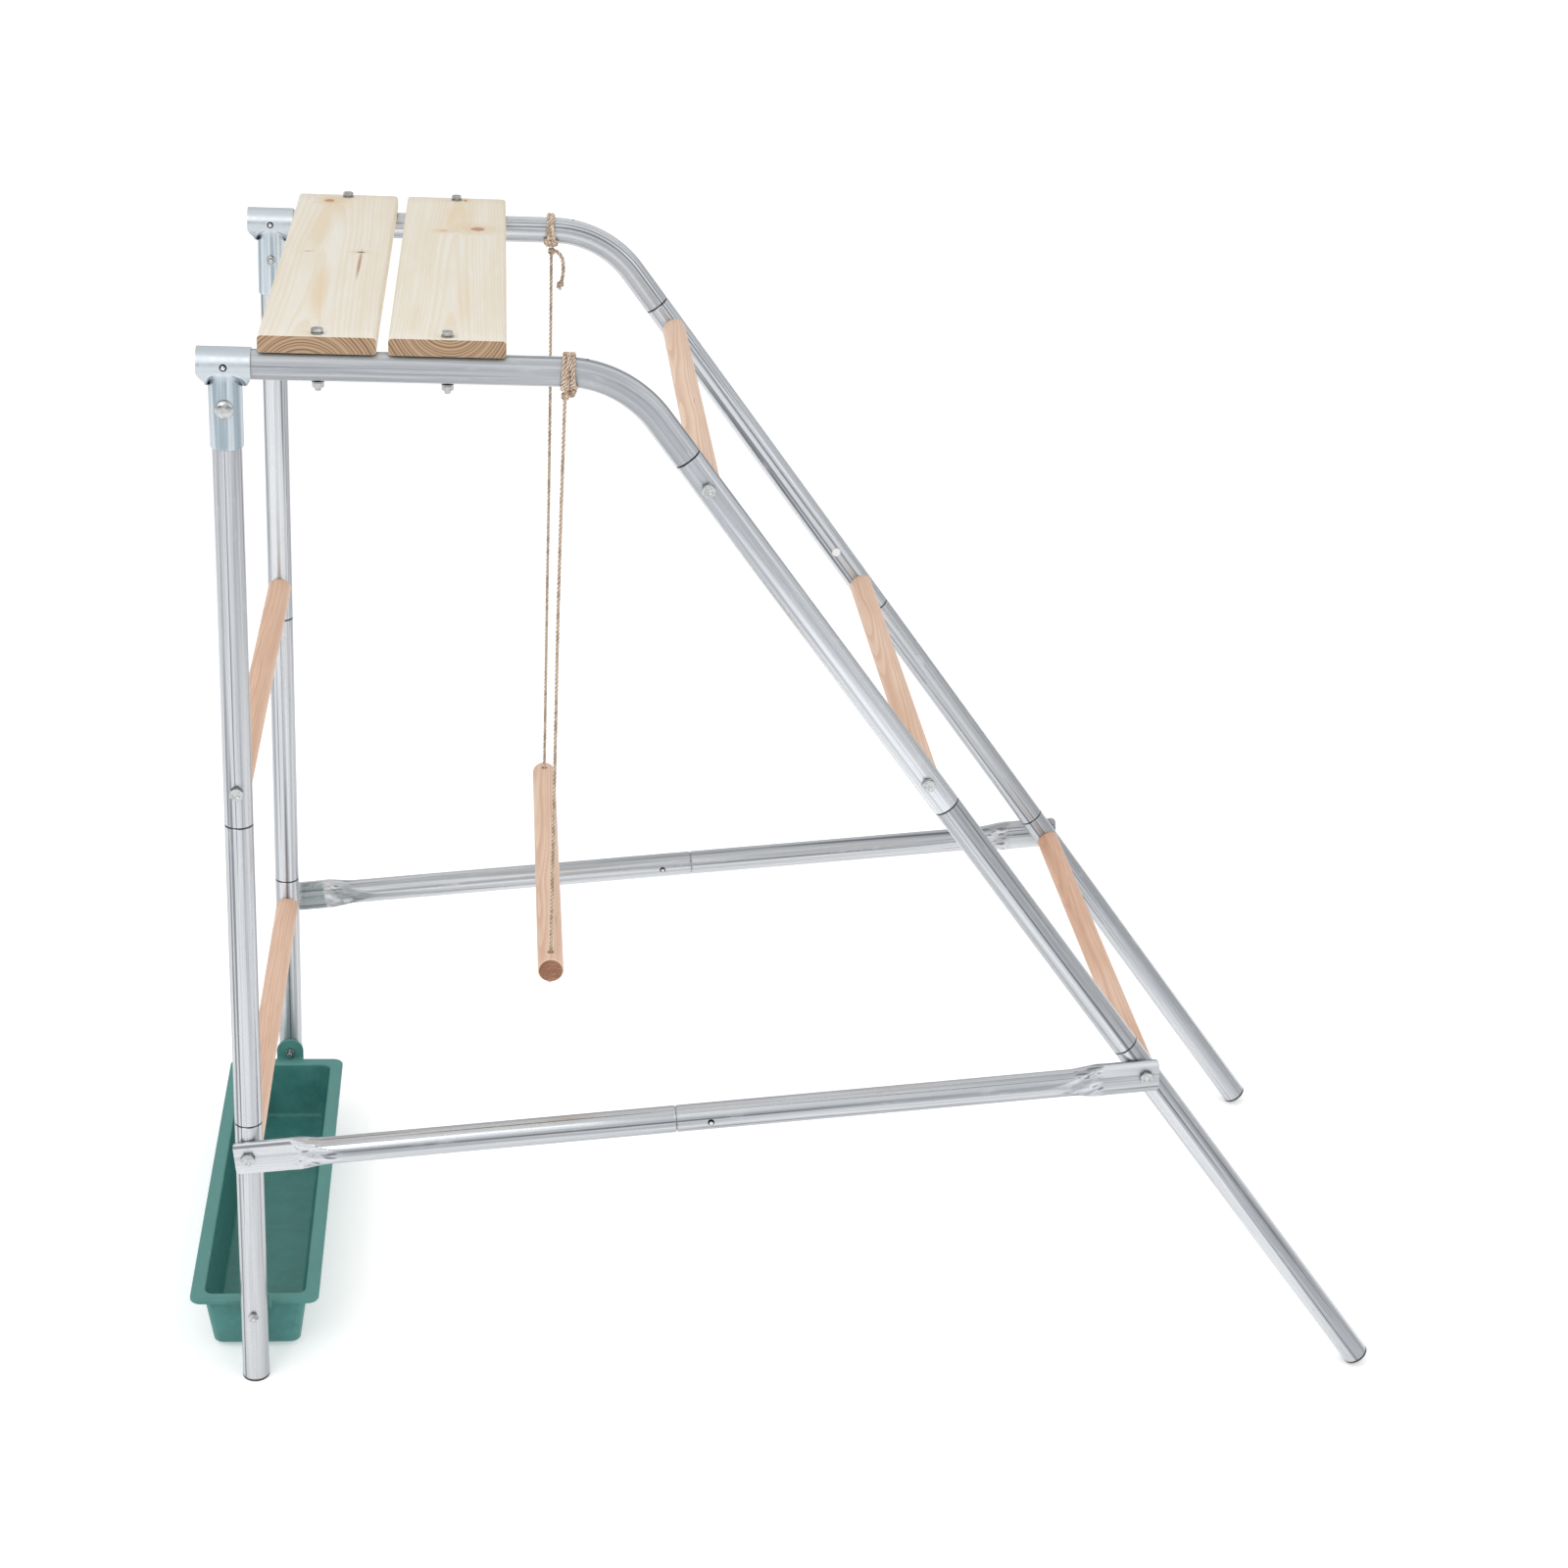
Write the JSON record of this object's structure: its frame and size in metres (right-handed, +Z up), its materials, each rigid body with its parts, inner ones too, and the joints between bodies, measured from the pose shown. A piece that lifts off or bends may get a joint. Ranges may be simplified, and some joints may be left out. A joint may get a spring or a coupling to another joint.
{
  "type": "climbing frame",
  "caption": "A-shaped tube climbing frame for the garden: upright posts, a sloping ladder leg with wooden rungs, a plank deck, a trapeze bar on ropes and a long planter at the foot.",
  "frame": {"origin": "on the ground, under the middle of the whole frame's bounding box", "axes": "+X from the posts towards the foot of the sloping ladder leg, +Y from the near frame to the far frame along the rungs, +Z up"},
  "size_m": [1.759, 0.8542, 1.5631],
  "materials": {
    "galvanised_tube": "galvanised, satin with lengthwise streaks",
    "zinc_sheet": "zinc plated, smooth",
    "zinc_fasteners": "zinc plated, bright",
    "hardwood_dowel": "unfinished, pinkish, fine lengthwise grain",
    "pine_board": "pale planed softwood with knots",
    "jute_rope": "twisted natural fibre",
    "green_plastic": "moulded, satin, weathered",
    "black_rubber": "matt",
    "white_sticker": "blank, thin"
  },
  "bodies": {
    "root": {"top_tube_near": "galvanised_tube", "top_tube_far": "galvanised_tube", "leg_upper_near": "galvanised_tube", "leg_upper_far": "galvanised_tube", "leg_middle_near": "galvanised_tube", "leg_middle_far": "galvanised_tube", "leg_foot_near": "galvanised_tube", "leg_foot_far": "galvanised_tube", "post_upper_near": "galvanised_tube", "post_upper_far": "galvanised_tube", "post_middle_near": "galvanised_tube", "post_middle_far": "galvanised_tube", "post_foot_near": "galvanised_tube", "post_foot_far": "galvanised_tube", "brace_short_near": "galvanised_tube", "brace_short_far": "galvanised_tube", "brace_long_near": "galvanised_tube", "brace_long_far": "galvanised_tube", "tee_bracket_near": "zinc_sheet", "tee_bracket_far": "zinc_sheet", "button_springs": "zinc_fasteners", "rung_bolts": "zinc_fasteners", "bracket_bolts": "zinc_fasteners", "bracket_nuts": "zinc_fasteners", "deck_bolts": "zinc_fasteners", "deck_washers": "zinc_fasteners", "deck_nuts": "zinc_fasteners", "planter_bolts": "zinc_fasteners", "planter_nuts": "zinc_fasteners", "ladder_rung_top": "hardwood_dowel", "ladder_rung_middle": "hardwood_dowel", "ladder_rung_bottom": "hardwood_dowel", "post_rung_upper": "hardwood_dowel", "post_rung_lower": "hardwood_dowel", "deck_board_rear": "pine_board", "deck_board_front": "pine_board", "rope_tie_near": "jute_rope", "rope_tie_far": "jute_rope", "rope_tail": "jute_rope", "planter": "green_plastic", "post_plug_near": "black_rubber", "post_plug_far": "black_rubber", "leg_plug_near": "black_rubber", "leg_plug_far": "black_rubber", "number_discs": "white_sticker"},
    "trapeze": {"trapeze_bar": "hardwood_dowel", "rope_near": "jute_rope", "rope_far": "jute_rope"},
    "near_brace_button": {"brace_button_near": "zinc_fasteners"},
    "far_brace_button": {"brace_button_far": "zinc_fasteners"},
    "near_bracket_button": {"bracket_button_near": "zinc_fasteners"},
    "far_bracket_button": {"bracket_button_far": "zinc_fasteners"}
  },
  "joints": [
    {"name": "trapeze_swing", "type": "hinge", "parent": "root", "child": "trapeze", "pos_m": [-0.36485, 0, 1.483], "axis": [0, 1, 0], "range_deg": [-42, 34]},
    {"name": "near_brace_button_press", "type": "slide", "parent": "root", "child": "near_brace_button", "axis": [0, 1, 0], "range_m": [0, 0.005], "stiffness_N_per_m": 800},
    {"name": "far_brace_button_press", "type": "slide", "parent": "root", "child": "far_brace_button", "axis": [0, 1, 0], "range_m": [0, 0.005], "stiffness_N_per_m": 800},
    {"name": "near_bracket_button_press", "type": "slide", "parent": "root", "child": "near_bracket_button", "axis": [0, 1, 0], "range_m": [0, 0.005], "stiffness_N_per_m": 800},
    {"name": "far_bracket_button_press", "type": "slide", "parent": "root", "child": "far_bracket_button", "axis": [0, 1, 0], "range_m": [0, 0.005], "stiffness_N_per_m": 800}
  ]
}
